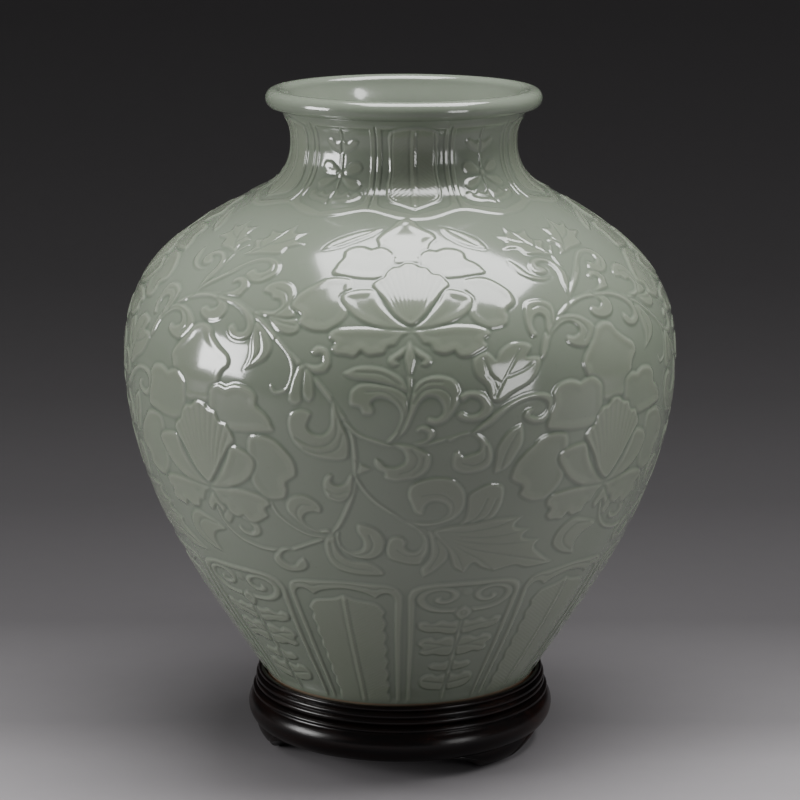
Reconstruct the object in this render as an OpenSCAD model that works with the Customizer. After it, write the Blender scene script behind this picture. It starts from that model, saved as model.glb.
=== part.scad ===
// Carved celadon jar standing in a turned hardwood stand.
// The origin is on the ground under the middle of the stand, +Z is up and -Y is the front.

/* [Vase] */
// Height of the vase from its foot to the top of its lip
vase_h = 387; // [380:1:400]
// Radius of the belly at its widest
belly_r = 175; // [170:1:180]
// Height of the widest part of the belly above the foot
belly_h = 219; // [210:1:226]
// Radius of the neck at its narrowest
neck_r = 71; // [68:1:74]
// Height of the narrowest part of the neck above the foot
neck_h = 354; // [350:1:357]
// Radius of the whole mouth over its rolled lip
mouth_r = 86.5; // [84:0.5:89]
// Radius of the roll of the lip
lip_roll_r = 6.1; // [5.5:0.1:6.5]
// Thickness of the porcelain wall
wall = 7; // [6:0.5:8]
// Thickness of the porcelain floor
floor_t = 10; // [8:1:12]
// Outer radius of the unglazed foot ring
foot_ring_r = 87.5; // [86:0.5:88]
// Height of the unglazed foot ring
foot_ring_h = 11.5; // [10:0.5:12]
// Width of the face that the foot ring stands on
foot_ring_w = 14; // [10:1:16]

/* [Stand] */
// Height of the seat that the vase stands on
seat_h = 36; // [36:1:37]
// Gap between the foot ring and the collar around it
seat_gap = 1.5; // [1:0.1:1.8]
// Outer radius of the stand at its widest
stand_r = 99; // [98:0.5:101]
// Height of the carved feet
foot_h = 13; // [12:0.5:13]
// Turn of the first foot from +X
foot_turn = -46; // [-60:1:-30]
// Half the width of a foot where it stands on the ground
foot_base_half = 10; // [8:1:17]
// Half the width of a foot where it meets the frame
foot_top_half = 39; // [34:1:42]
// Outer radius of a foot where it stands on the ground
foot_base_r = 84; // [82:1:87]
// Inner radius of the frame ring
frame_inner_r = 70; // [66:1:72]
// Radius of the seat board
board_r = 86; // [85:0.5:86.5]
// Thickness of the seat board
board_t = 10; // [8:0.5:10]
// Radius of the tenon on top of each foot
tenon_r = 4.5; // [4:0.5:5]
// Length of the tenon on top of each foot
tenon_l = 9; // [8:0.5:9]

/* [Hidden] */
$fn = 96;
fit = 0.1;
sides = 3;
segment_a = 360 / sides;
joint_turn = segment_a / 2;
foot_r = 83;
foot_inner_r = 72;
foot_chamfer = 3;
collar_in = foot_ring_r + seat_gap;
collar_top = 48;
collar_seam_r = 92.6;
tongue_in = 90;
tongue_out = 92;
tongue_t = 3;
edge_r = 1.5;
sag = 0.6;
frame_top = seat_h;
frame_edge_r = 94;
key_r = 82;
key_h = 19;
key_size = [11, 22, 4];
belly_pull = 90;
shoulder_pull = 59;
neck_pull = 12;
throat_r = mouth_r - 9;
throat_h = vase_h - 2 * lip_roll_r;
bowl_rise = 20;
recess = 5;
glaze = [0.60, 0.67, 0.59];
bare_clay = [0.55, 0.36, 0.22];
hardwood = [0.06, 0.035, 0.03];
inner_wood = [0.16, 0.09, 0.06];

// Points along a cubic curve from p[0] to p[3] with the handles p[1] and p[2]
function curve(p, n) = [for (i = [0:n - 1])
    let (t = i / n, s = 1 - t)
    s * s * s * p[0] + 3 * s * s * t * p[1] + 3 * s * t * t * p[2] + t * t * t * p[3]];

// Points along an arc about c, from angle a to angle b
function arc(c, r, a, b, n) = [for (i = [0:n])
    c + r * [cos(a + (b - a) * i / n), sin(a + (b - a) * i / n)]];

// The same line moved sideways by d, to the left of its direction
function beside(p, d) = [for (i = [0:len(p) - 1])
    let (a = p[max(i - 1, 0)], b = p[min(i + 1, len(p) - 1)], v = (b - a) / norm(b - a))
    p[i] + d * [-v[1], v[0]]];

// Outline of the jar as [radius, height above the foot], from the foot ring to under the lip
shoulder = [86.5, 326.5];
lip_mid = [mouth_r - lip_roll_r, vase_h - lip_roll_r];
belly_start = [foot_ring_r + 0.5, foot_ring_h + 0.5];
belly_mid = [belly_r, belly_h];
neck_mid = [neck_r, neck_h];
throat_end = [throat_r, throat_h];
belly_line = curve([belly_start, [114, 57], belly_mid - [0, belly_pull], belly_mid], 22);
shoulder_line = curve([belly_mid, belly_mid + [0, shoulder_pull], [139.5, 297.5], shoulder], 22);
neck_line = curve([shoulder, [76.5, 332], neck_mid - [0, neck_pull], neck_mid], 8);
throat_line = curve([neck_mid, neck_mid + [0, neck_pull + 1], [75, vase_h - 19], throat_end], 8);
jar_line = concat(belly_line, shoulder_line, neck_line, throat_line, [throat_end]);
lip_line = arc(lip_mid, lip_roll_r, -58, 160, 16);

// Inner face of the jar, from under the lip down to the middle of its floor
inside_all = beside(jar_line, wall);
inside_line = [for (i = [len(inside_all) - 1:-1:1])
    if (inside_all[i][1] > floor_t + bowl_rise) inside_all[i]];
bowl_line = curve([[foot_ring_r + 2, floor_t + bowl_rise - 2], [foot_ring_r - 8, floor_t + 4],
                   [68, floor_t], [40, floor_t]], 6);

module vase() {
    ring_in = foot_ring_r - foot_ring_w;
    color(glaze) translate([0, 0, seat_h]) rotate_extrude()
        polygon(concat([[ring_in, 0], [foot_ring_r - edge_r, 0], [foot_ring_r, edge_r],
                        [foot_ring_r, foot_ring_h]],
                       jar_line, lip_line, inside_line, bowl_line,
                       [[40, floor_t], [0, floor_t], [0, recess]],
                       [[ring_in - 6, recess], [ring_in, recess - 2]]));
}

// Turned collar with a plain lip and two beads, keyed into the frame by a tongue
module collar_ring() {
    color(hardwood) rotate_extrude()
        polygon(concat([[collar_in, frame_top], [tongue_in, frame_top], [tongue_in, frame_top - tongue_t],
                        [tongue_out, frame_top - tongue_t], [tongue_out, frame_top],
                        [collar_seam_r, frame_top]],
                       arc([92.3, 38.2], 2.1, -60, 60, 8),
                       arc([92, 42.2], 2, -60, 60, 8),
                       arc([90.9, 46.3], 1.7, -60, 90, 8),
                       [[collar_in + sag, collar_top], [collar_in, collar_top - sag]]));
}

// Round board that closes the top of the stand
module seat_board() {
    color(inner_wood) translate([0, 0, seat_h - board_t]) rotate_extrude()
        polygon([[0, 0], [board_r - 2, 0], [board_r, 2], [board_r, board_t], [0, board_t]]);
}

// Section of the frame ring: a ledge for the board, a fillet bead and the wide round moulding
module frame_section() {
    bulge = curve([[frame_edge_r, foot_h], [stand_r + edge_r, foot_h + 5], [stand_r + edge_r, foot_h + 14],
                   [frame_edge_r + 1, foot_h + 18.5]], 14);
    difference() {
        polygon(concat([[frame_inner_r, foot_h]],
                       bulge, arc([94.6, 33.4], 1.6, -70, 70, 8),
                       [[93, frame_top], [board_r, frame_top], [board_r, frame_top - board_t + 2],
                        [board_r - 2, frame_top - board_t], [frame_inner_r, frame_top - board_t]]));
        translate([tongue_in - fit, frame_top - tongue_t - fit])
            square([tongue_out - tongue_in + 2 * fit, tongue_t + 1]);
    }
}

// Flat key that joins two segments, and the slot for it
module key(extra) {
    translate([key_r, 0, key_h]) cube(key_size + [extra, extra, extra], center = true);
}

// One curved segment, centred over the foot at turn a
module frame_segment(a) {
    color(hardwood) rotate([0, 0, a]) difference() {
        rotate([0, 0, -joint_turn]) rotate_extrude(angle = segment_a) frame_section();
        for (side = [-1, 1]) rotate([0, 0, side * joint_turn]) key(2 * fit);
        translate([foot_r, 0, foot_h - 1]) cylinder(r = tenon_r + fit, h = tenon_l + 1.5);
    }
}

module spline(a) {
    color(inner_wood) rotate([0, 0, a]) key(0);
}

// Bracket outline of a foot seen from outside, with a hollow curve up each side
module foot_outline() {
    side = curve([[foot_base_half, 0], [foot_base_half + 5, 1], [foot_base_half + 9, foot_h - 4],
                  [foot_top_half, foot_h]], 8);
    right_side = concat(side, [[foot_top_half, foot_h]]);
    left_side = [for (i = [len(right_side) - 1:-1:0]) [-right_side[i][0], right_side[i][1]]];
    polygon(concat(right_side, left_side));
}

// Carved foot with its tenon
module foot(a) {
    color(hardwood) rotate([0, 0, a]) {
        intersection() {
            rotate_extrude() polygon(concat(
                [[foot_inner_r + foot_chamfer, 0]],
                curve([[foot_base_r, 0], [foot_base_r + 5, 0.5], [frame_edge_r + 0.5, foot_h - 7],
                       [frame_edge_r, foot_h]], 8),
                [[frame_edge_r, foot_h], [foot_inner_r, foot_h], [foot_inner_r, foot_h - 5]]));
            translate([60, 0, 0]) rotate([90, 0, 90]) linear_extrude(45) foot_outline();
        }
        translate([foot_r, 0, foot_h - 2]) cylinder(r = tenon_r, h = tenon_l + 2);
    }
}

module frame_right() { frame_segment(foot_turn); }
module frame_back() { frame_segment(foot_turn + segment_a); }
module frame_left() { frame_segment(foot_turn - segment_a); }
module spline_right() { spline(foot_turn + joint_turn); }
module spline_left() { spline(foot_turn + 3 * joint_turn); }
module spline_front() { spline(foot_turn - joint_turn); }
module foot_right() { foot(foot_turn); }
module foot_back() { foot(foot_turn + segment_a); }
module foot_left() { foot(foot_turn - segment_a); }

vase();
collar_ring();
seat_board();
frame_right();
frame_back();
frame_left();
spline_front();
spline_right();
spline_left();
foot_right();
foot_back();
foot_left();
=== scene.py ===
from math import atan2, cos, pi, radians, sin

import bpy
import numpy as np
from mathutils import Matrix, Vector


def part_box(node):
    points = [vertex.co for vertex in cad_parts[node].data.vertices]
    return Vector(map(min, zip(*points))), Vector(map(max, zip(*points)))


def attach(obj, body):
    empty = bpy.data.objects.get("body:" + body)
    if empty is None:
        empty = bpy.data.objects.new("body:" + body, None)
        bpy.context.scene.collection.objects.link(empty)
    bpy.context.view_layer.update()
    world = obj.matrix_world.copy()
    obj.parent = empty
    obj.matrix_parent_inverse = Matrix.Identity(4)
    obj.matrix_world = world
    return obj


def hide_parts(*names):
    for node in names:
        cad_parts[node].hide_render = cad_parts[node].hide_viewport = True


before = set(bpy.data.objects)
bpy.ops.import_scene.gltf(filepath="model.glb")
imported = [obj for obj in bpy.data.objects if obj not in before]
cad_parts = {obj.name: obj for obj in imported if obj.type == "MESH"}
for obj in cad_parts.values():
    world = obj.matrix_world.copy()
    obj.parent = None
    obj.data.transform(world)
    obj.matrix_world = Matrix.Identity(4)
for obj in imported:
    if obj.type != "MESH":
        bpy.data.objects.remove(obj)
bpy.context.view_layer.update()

mm = 0.001
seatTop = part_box("seat_board")[1][2] / mm       # the jar stands at this height, in millimetres
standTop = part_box("collar_ring")[1][2] / mm     # top of the collar


def curvePoints(a, b, c, d, count):
    # points along one cubic curve, without its last point
    t = np.linspace(0, 1, count, endpoint=False)[:, None]
    a, b, c, d = (np.array(p, float) for p in (a, b, c, d))
    return (1 - t) ** 3 * a + 3 * (1 - t) ** 2 * t * b + 3 * (1 - t) * t * t * c + t ** 3 * d


def arcPoints(centre, radius, start, end, count):
    # points along an arc, both ends included; angles in degrees
    turn = np.radians(np.linspace(start, end, count))
    return np.column_stack([centre[0] + radius * np.cos(turn), centre[1] + radius * np.sin(turn)])


def smoothLine(points, closed=False, fine=7):
    # a flowing line through the points; a point given twice makes a sharp tip
    p = np.array(points, float)
    if closed:
        p = np.vstack([p[-1:], p, p[:2]])
    else:
        p = np.vstack([2 * p[0] - p[1], p, 2 * p[-1] - p[-2]])
    line = []
    for i in range(1, len(p) - 2):
        if np.allclose(p[i], p[i + 1]):
            continue
        t = np.linspace(0, 1, fine, endpoint=False)[:, None]
        before = np.zeros(2) if np.allclose(p[i - 1], p[i]) else (p[i + 1] - p[i - 1]) / 2
        after = np.zeros(2) if np.allclose(p[i + 1], p[i + 2]) else (p[i + 2] - p[i]) / 2
        h = (2 * t ** 3 - 3 * t ** 2 + 1) * p[i] + (t ** 3 - 2 * t ** 2 + t) * before
        line.append(h + (3 * t ** 2 - 2 * t ** 3) * p[i + 1] + (t ** 3 - t ** 2) * after)
    if not closed:
        line.append(p[-2:-1])
    return np.vstack(line)


def ease(x):
    # a soft step from 0 to 1
    x = np.clip(x, 0, 1)
    return x * x * (3 - 2 * x)


def soften(grid, passes):
    # a gentle blur, the same in both directions; the columns run on round the jar
    for _ in range(passes):
        grid = (np.roll(grid, 1, 1) + 2 * grid + np.roll(grid, -1, 1)) / 4
        padded = np.vstack([grid[:1], grid, grid[-1:]])
        grid = (padded[:-2] + 2 * padded[1:-1] + padded[2:]) / 4
    return grid


def meshFromRings(name, rings, firstCentre, lastCentre):
    # a skin over rings of points round the axis, closed on a centre at each end
    rows, cols = rings.shape[:2]
    verts = np.vstack([rings.reshape(-1, 3), [firstCentre], [lastCentre]])
    rowStart = np.arange(rows - 1)[:, None] * cols
    here = np.arange(cols)
    after = (here + 1) % cols
    nextStart = rowStart + cols
    quads = np.stack([rowStart + here, rowStart + after, nextStart + after, nextStart + here], -1)
    tip = np.full(cols, rows * cols)
    lastRow = (rows - 1) * cols
    firstFan = np.stack([after, here, tip], -1)
    lastFan = np.stack([lastRow + here, lastRow + after, tip + 1], -1)
    corners = np.concatenate([quads.ravel(), firstFan.ravel(), lastFan.ravel()])
    sizes = np.repeat([4, 3], [(rows - 1) * cols, 2 * cols])
    mesh = bpy.data.meshes.new(name)
    mesh.vertices.add(len(verts))
    mesh.vertices.foreach_set("co", (verts * mm).astype(np.float32).ravel())
    mesh.loops.add(len(corners))
    mesh.loops.foreach_set("vertex_index", corners.astype(np.int32))
    mesh.polygons.add(len(sizes))
    mesh.polygons.foreach_set("loop_start", (np.cumsum(sizes) - sizes).astype(np.int32))
    mesh.polygons.foreach_set("use_smooth", np.ones(len(sizes), bool))
    mesh.update(calc_edges=True)
    mesh.validate()
    piece = bpy.data.objects.new(name, mesh)
    bpy.context.scene.collection.objects.link(piece)
    return piece


def pointValues(piece, name, values):
    layer = piece.data.attributes.new(name, "FLOAT", "POINT")
    full = np.zeros(len(piece.data.vertices), np.float32)
    full[:values.size] = values.ravel()
    layer.data.foreach_set("value", full)


def newFinish(name):
    finish = bpy.data.materials.new(name)
    finish.use_nodes = True
    tree = finish.node_tree
    return finish, tree, tree.nodes["Principled BSDF"]


def addNode(tree, kind, **settings):
    # a setting named like one of the node's sockets goes to that socket
    node = tree.nodes.new(kind)
    for key, value in settings.items():
        if key in node.inputs:
            node.inputs[key].default_value = value
        else:
            setattr(node, key, value)
    return node


def noise(tree, scale, detail=3.0, stretch=None):
    coords = addNode(tree, "ShaderNodeTexCoord")
    texture = addNode(tree, "ShaderNodeTexNoise", Scale=scale, Detail=detail)
    if stretch:
        shaped = addNode(tree, "ShaderNodeMapping", Scale=stretch)
        tree.links.new(coords.outputs["Object"], shaped.inputs["Vector"])
        tree.links.new(shaped.outputs["Vector"], texture.inputs["Vector"])
    else:
        tree.links.new(coords.outputs["Object"], texture.inputs["Vector"])
    return texture.outputs["Fac"]


def ramp(tree, source, stops):
    node = addNode(tree, "ShaderNodeValToRGB")
    band = node.color_ramp
    while len(band.elements) < len(stops):
        band.elements.new(0.5)
    for element, (place, colour) in zip(band.elements, stops):
        element.position = place
        element.color = (*colour, 1)
    tree.links.new(source, node.inputs["Fac"])
    return node.outputs["Color"]


def mixColours(tree, amount, a, b, mode="MIX"):
    # places 0, 6 and 7 are the node's factor and its two colours
    node = addNode(tree, "ShaderNodeMix", data_type="RGBA", blend_type=mode)
    for value, place in ((amount, 0), (a, 6), (b, 7)):
        if hasattr(value, "is_output"):
            tree.links.new(value, node.inputs[place])
        elif place == 0:
            node.inputs[place].default_value = value
        else:
            node.inputs[place].default_value = (*value, 1)
    return node.outputs[2]


def rescale(tree, source, low, high, fromLow=0.0, fromHigh=1.0):
    # stretches a value from one range to another and keeps it inside
    node = addNode(tree, "ShaderNodeMapRange")
    node.inputs["From Min"].default_value = fromLow
    node.inputs["From Max"].default_value = fromHigh
    node.inputs["To Min"].default_value = low
    node.inputs["To Max"].default_value = high
    tree.links.new(source, node.inputs["Value"])
    return node.outputs["Result"]


def addBump(tree, shader, height, strength, distance):
    node = addNode(tree, "ShaderNodeBump", Strength=strength, Distance=distance)
    tree.links.new(height, node.inputs["Height"])
    tree.links.new(node.outputs["Normal"], shader.inputs["Normal"])


cameraSettings = {
    "place": (0.0, -1.657, 0.6024),     # metres
    "lookDown": 12.9,                   # degrees
    "lens": 119.475,                    # mm on a 36 mm sensor
}

cameraData = bpy.data.cameras.new("camera")
cameraData.lens = cameraSettings["lens"]
cameraData.sensor_width = 36.0
camera = bpy.data.objects.new("camera", cameraData)
camera.location = cameraSettings["place"]
camera.rotation_euler = (radians(90 - cameraSettings["lookDown"]), 0, 0)
bpy.context.scene.collection.objects.link(camera)
bpy.context.scene.camera = camera
print("camera placed")


jar = {
    "bellyRadius": 175.0,
    "bellyHeight": 219.0,       # heights are above the foot, in millimetres
    "shoulderEnd": (86.5, 326.5),   # radius and height
    "neckRadius": 71.0,
    "neckHeight": 354.0,
    "throatEnd": (77.5, 374.8),
    "lipCentre": (80.4, 380.9),
    "lipRoll": 6.1,
    "wall": 7.0,
    "throatTop": 366.0,         # the inside follows the outside up to here, then turns into the lip
    "floorTop": 10.0,
    "floorUnder": 5.0,
    "bowlRise": 20.0,           # the inside curves over to the floor within this height
    "footRadius": 87.5,
    "footHeight": 11.5,
    "footWidth": 14.0,
    "columns": 1440,            # points round the jar
    "rowStep": 0.72,            # millimetres between rows on the carved outside
    "fadeFoot": 6.0,            # the carving fades in over this run above the foot
    "fadeLip": 3.0,             # and out over this run below the lip
    "sink": 0.45,               # the carving stands out of the wall by its height less this
    "poolAndShadeBlur": 14,             # passes of blur that find the hollows, where thick glaze and painted shade go
    "thinEdge": 0.2,            # the glaze is thin and brown this far up from its edge
    "thinFade": 1.2,
    "neckLean": 2.4,            # the thrown neck sits this far to one side
    "leanFrom": 330.0,
    "leanOver": 40.0,
}


def jarOutline():
    # radius and height above the ground, from the top of the foot ring to under the lip;
    # the bare pairs are the handles of the curves
    wide = jar["bellyRadius"]
    mid = jar["bellyHeight"]
    end = jar["shoulderEnd"]
    neck = jar["neckRadius"]
    tall = jar["neckHeight"]
    lip = jar["lipCentre"]
    start = (jar["footRadius"] + 0.5, jar["footHeight"] + 0.5)
    under = (lip[0] + jar["lipRoll"] * cos(radians(-58)), lip[1] + jar["lipRoll"] * sin(radians(-58)))
    line = np.vstack([
        curvePoints(start, (114, 57), (wide, mid - 90), (wide, mid), 160),
        curvePoints((wide, mid), (wide, mid + 59), (139.5, 297.5), end, 160),
        curvePoints(end, (76.5, 332), (neck, tall - 12), (neck, tall), 40),
        curvePoints((neck, tall), (neck, tall + 13), (75, 368), jar["throatEnd"], 40),
        [jar["throatEnd"]],
        [under],
    ])
    return line + (0, seatTop)


outline = jarOutline()
# distance along the wall from the foot to each point of the outline
outlineRun = np.concatenate([[0], np.cumsum(np.hypot(*np.diff(outline, axis=0).T))])


def radiusAt(run):
    return np.interp(run, outlineRun, outline[:, 0])


# A pattern is a strip of the wall that repeats round the jar. Its shapes are drawn in degrees round
# the jar from the front and millimetres up along the wall, and its relief holds heights in millimetres.

carving = {
    "fine": 0.45,               # size of one cell of the strip
    "height": 0.78,             # of leaves and petals
    "bevel": 2.0,               # width of a rounded edge
    "softness": 0.65,           # how much of an edge's rise is an even ease
    "veinDepth": 0.36,
    "veinWidths": (0.9, 0.5),   # at the foot and the tip of a vein
    "outlineDepth": 0.3,        # cut beside a shape where it lies over another
    "outlineWidth": 0.9,
    "groundDip": 0.1,           # and where it lies on the ground
    "plateEdge": 0.9,
}


def newPattern(turn, low, high):
    # an empty strip that repeats every turn degrees, between two places along the wall
    rows = int(round((high - low) / carving["fine"]))
    cols = int(round(radians(turn) * jar["bellyRadius"] / carving["fine"]))
    return {"turn": turn, "low": low, "high": high, "relief": np.zeros((rows, cols))}


def cellsNear(pattern, line, margin):
    # the strip's cells about a line, with their turns, runs and millimetres per degree
    rows, cols = pattern["relief"].shape
    step = (pattern["high"] - pattern["low"]) / rows
    first = int(max((line[:, 1].min() - margin - pattern["low"]) / step, 0))
    last = int(min((line[:, 1].max() + margin - pattern["low"]) / step + 1, rows))
    rowIndex = np.arange(first, last)
    run = pattern["low"] + (rowIndex + 0.5) * step
    perDegree = radians(1) * radiusAt(run)
    side = margin / perDegree.min()
    wide = cols / pattern["turn"]
    colIndex = np.arange(int(np.floor((line[:, 0].min() - side) * wide)),
                         int(np.ceil((line[:, 0].max() + side) * wide)))
    turn = (colIndex + 0.5) / wide
    return np.ix_(rowIndex, colIndex % cols), turn[None, :], run[:, None], perDegree[:, None]


def depthInside(line, turn, run, perDegree):
    # millimetres inside a closed outline, negative outside
    x = turn * perDegree
    near = np.full(np.broadcast_shapes(x.shape, run.shape), 1e9)
    inside = np.zeros(near.shape, bool)
    for (a0, s0), (a1, s1) in zip(line, np.roll(line, -1, 0)):
        dx = (a1 - a0) * perDegree
        dy = s1 - s0
        px = x - a0 * perDegree
        py = run - s0
        t = np.clip((px * dx + py * dy) / (dx * dx + dy * dy + 1e-9), 0, 1)
        near = np.minimum(near, (px - t * dx) ** 2 + (py - t * dy) ** 2)
        if s0 != s1:
            inside ^= ((s0 > run) != (s1 > run)) & (px < dx * py / dy)
    return np.where(inside, 1, -1) * np.sqrt(near)


def depthAlong(line, widths, turn, run, perDegree):
    # millimetres inside a band along a line, and the band's half width there
    x = turn * perDegree
    best = np.full(np.broadcast_shapes(x.shape, run.shape), -1e9)
    half = np.ones(best.shape)
    widthAt = np.interp(np.linspace(0, 1, len(line)), np.linspace(0, 1, len(widths)), widths)
    for i in range(len(line) - 1):
        dx = (line[i + 1, 0] - line[i, 0]) * perDegree
        dy = line[i + 1, 1] - line[i, 1]
        px = x - line[i, 0] * perDegree
        py = run - line[i, 1]
        t = np.clip((px * dx + py * dy) / (dx * dx + dy * dy + 1e-9), 0, 1)
        w = widthAt[i] + (widthAt[i + 1] - widthAt[i]) * t
        inside = w - np.hypot(px - t * dx, py - t * dy)
        closer = inside > best
        best = np.where(closer, inside, best)
        half = np.where(closer, w, half)
    return best, half


def layOver(pattern, cells, depth, height):
    # puts a shape on top of what is there and cuts a fine line round it
    cut = np.exp(-(np.clip(-depth, 0, None) / carving["outlineWidth"]) ** 2)
    under = pattern["relief"][cells]
    dip = np.minimum(under, -carving["groundDip"] * cut)
    lowered = np.maximum(under - carving["outlineDepth"] * cut, dip)
    cover = ease(depth / carving["fine"] / 1.5 + 0.5)
    pattern["relief"][cells] = lowered * (1 - cover) + height * cover


def rounded(depth, width):
    # a soft shoulder: steeper below than above, and never upright
    t = np.clip(depth / width, 0, 1)
    soft = carving["softness"]
    return soft * ease(t) + (1 - soft) * (1 - (1 - t) ** 2)


def leaf(pattern, outlinePoints, height, dish, rim, veins=(), ribs=None, tilt=None):
    # a raised shape with a rounded edge and a hollow middle; veins are cut lines, ribs fan from a point
    line = smoothLine(outlinePoints, closed=True)
    cells, turn, run, perDegree = cellsNear(pattern, line, 3)
    depth = depthInside(line, turn, run, perDegree)
    top = carving["height"] * height
    shape = top * rounded(depth, carving["bevel"])
    shape = shape - dish * ease((depth - rim * 0.6) / rim)
    if tilt:
        (a0, s0), (a1, s1), low = tilt      # leans down by low from the second point to the first
        dx = (a1 - a0) * perDegree
        dy = s1 - s0
        along = ((turn - a0) * perDegree * dx + (run - s0) * dy) / (dx * dx + dy * dy)
        shape = shape - low * (1 - ease(along)) * ease(depth / carving["bevel"])
    if ribs:
        (a0, s0), count, deep = ribs
        fan = np.arctan2((turn - a0) * perDegree, run - s0)
        shape = shape - deep * (0.5 + 0.5 * np.cos(fan * count)) ** 3 * ease((depth - 0.8) / 2)
    veinCut = np.zeros(depth.shape)
    for vein in veins:
        veinLine = smoothLine(vein)
        inVein, half = depthAlong(veinLine, carving["veinWidths"], turn, run, perDegree)
        veinCut = np.maximum(veinCut, ease(inVein / half + 0.4))
    shape = shape - carving["veinDepth"] * veinCut * ease(depth / 1.2)
    layOver(pattern, cells, depth, shape)


def stem(pattern, points, widths, height=0.85):
    # a raised rounded band that follows a line
    line = smoothLine(points)
    cells, turn, run, perDegree = cellsNear(pattern, line, 5)
    depth, half = depthAlong(line, widths, turn, run, perDegree)
    top = carving["height"] * height
    layOver(pattern, cells, depth, top * rounded(depth, np.minimum(half, carving["bevel"])))


def scratch(pattern, points, width, deep):
    # a line cut into whatever is there
    line = smoothLine(points)
    cells, turn, run, perDegree = cellsNear(pattern, line, 3)
    depth, half = depthAlong(line, (width, width), turn, run, perDegree)
    pattern["relief"][cells] -= deep * ease(depth / half + 0.6)


def ringPoints(centre, radius, sweep, count):
    # an arc in millimetres about a centre, given as degrees round and millimetres up
    across, up = arcPoints((0, centre[1]), radius, 0, sweep, count).T
    return np.column_stack([centre[0] + across / (radians(1) * radiusAt(centre[1])), up])


def mirrored(points, middle, side):
    # points drawn from a panel's middle line, put on its right (1) or its left (-1)
    return [(middle + side * across, up) for across, up in points]


def evenOutline(middle, tip, half):
    # an even outline: a height given twice in tip is sharp, and half runs outwards from it
    return mirrored(reversed(half), middle, -1) + [(middle, up) for up in tip] + mirrored(half, middle, 1)


def leafPairs(pattern, shapes, middle):
    # each shape is drawn once and carved on both sides of a panel's middle line
    for side in (-1, 1):
        for points, height, dish, rim, veins in shapes:
            leaf(pattern, mirrored(points, middle, side), height, dish, rim,
                 [mirrored(vein, middle, side) for vein in veins])


flower = {
    "petalHeight": 1.05,        # parts of the carving's height
    "petalDish": 0.32,
    "petalRim": 4.5,
    "foldDepth": 0.25,          # a petal sinks this much towards the heart
    "shellHeight": 1.3,
    "shellDish": 0.2,
    "shellRim": 2.5,
    "shellRibs": 72,            # ribs in a full turn about the fan's point
    "shellRibDepth": 0.28,
    "fanPoint": (0.6, -9),
    # outline and fold of each petal, in degrees from the middle and millimetres above the calyx
    "petals": [
        # the back row: the top petal, then the heart-shaped ones on either side
        ([(-5, 55), (-8.3, 74), (-8.6, 80), (-6.8, 87), (-4.8, 93), (-3.3, 98.5), (-0.6, 101),
          (1.9, 98.5), (2.9, 94), (5, 89), (7.6, 84), (8, 78), (6.2, 72), (4, 55)], (0, 50)),
        ([(-5, 40), (-16.5, 41), (-17.2, 50), (-16.2, 58), (-16.4, 64), (-14.8, 69), (-11.9, 70.5),
          (-9.4, 68), (-9.4, 68), (-6.8, 70.5), (-4.4, 67), (-3.4, 60)], (-6, 45)),
        ([(5, 40), (17.4, 41), (18, 47), (16.8, 52.5), (14.9, 57), (14.8, 62.5), (13, 67), (9.8, 68.5),
          (7.5, 66), (7.5, 66), (5, 67), (3, 60)], (6, 45)),
        # the outer petals at the sides
        ([(-12, 10), (-15.1, -2), (-17.3, -4), (-19.8, -3), (-22.3, 2), (-22, 7.5), (-24.6, 13),
          (-24, 22), (-22.5, 28), (-20.6, 33), (-18.3, 38.5), (-14.6, 40), (-12, 35)], (-12, 15)),
        ([(12, 10), (14.4, -1), (17, -2.4), (19.6, 0), (20.4, 6), (20.4, 10.5), (22.6, 16), (22.4, 25),
          (20.4, 33), (18, 38.3), (15, 39.5), (12.2, 35)], (12, 15)),
        # the lower petals
        ([(0.2, -1), (-6.5, 1.5), (-13, 0.5), (-15.3, -3), (-15.4, -8), (-14.3, -11), (-14.9, -15),
          (-13.8, -19), (-12, -19.6), (-10.2, -20.4), (-9, -16.4), (-9, -16.4), (-7.6, -19.2),
          (-5.8, -18.6), (-4.6, -17.6), (-3.8, -13), (-2.6, -12), (-1.3, -6)], (-4, -4)),
        ([(0.8, -1), (7, 2.5), (12.2, 2), (15.4, -1.5), (15.9, -6), (14.6, -9.5), (15, -14), (13, -18.5),
          (11.2, -21), (9.4, -20.6), (8.4, -17), (8.4, -17), (6.6, -18.8), (4.6, -16.4), (3.9, -12),
          (2.6, -10.5), (1.4, -4.6)], (4, -4)),
        # the inner petals that hold the shell
        ([(0.4, 0), (-3, -0.6), (-6.9, 1.3), (-10.4, 7), (-12.9, 15), (-14.3, 23), (-13, 28),
          (-9.8, 30.5), (-7, 29.5), (-5.6, 19), (-2.6, 7)], (-4, 6)),
        ([(0.8, 0), (5.2, 0.6), (9.2, 4.6), (12.2, 11), (13.6, 18.5), (13.4, 24), (11.4, 28.5), (8, 30),
          (6.2, 20), (3.2, 7)], (4, 6)),
    ],
    # the ribbed heart of the flower, its top edge in scallops
    "shell": [(0.4, 2), (-2.9, 10), (-5, 21), (-6.9, 28.5), (-7.9, 34), (-6.6, 39), (-5.6, 41),
              (-4.9, 46), (-3.7, 50), (-2, 51), (-0.6, 54.5), (1.6, 54), (2.9, 51), (4.8, 49.5),
              (5.8, 44.5), (7.6, 43), (8.7, 38), (9.2, 33), (7.4, 27), (5, 17), (2.8, 8)],
}


def carveFlower(pattern, foot, wide, tall):
    def place(points):
        return [(foot[0] + a * wide, foot[1] + up * tall) for a, up in points]

    for points, fold in flower["petals"]:
        low, high = place([fold, (fold[0] * 1.6, fold[1] * 1.4)])
        leaf(pattern, place(points), flower["petalHeight"], flower["petalDish"], flower["petalRim"],
             tilt=(low, high, flower["foldDepth"]))
    fanPoint, = place([flower["fanPoint"]])
    leaf(pattern, place(flower["shell"]), flower["shellHeight"], flower["shellDish"], flower["shellRim"],
         ribs=(fanPoint, flower["shellRibs"], flower["shellRibDepth"]))


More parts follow.
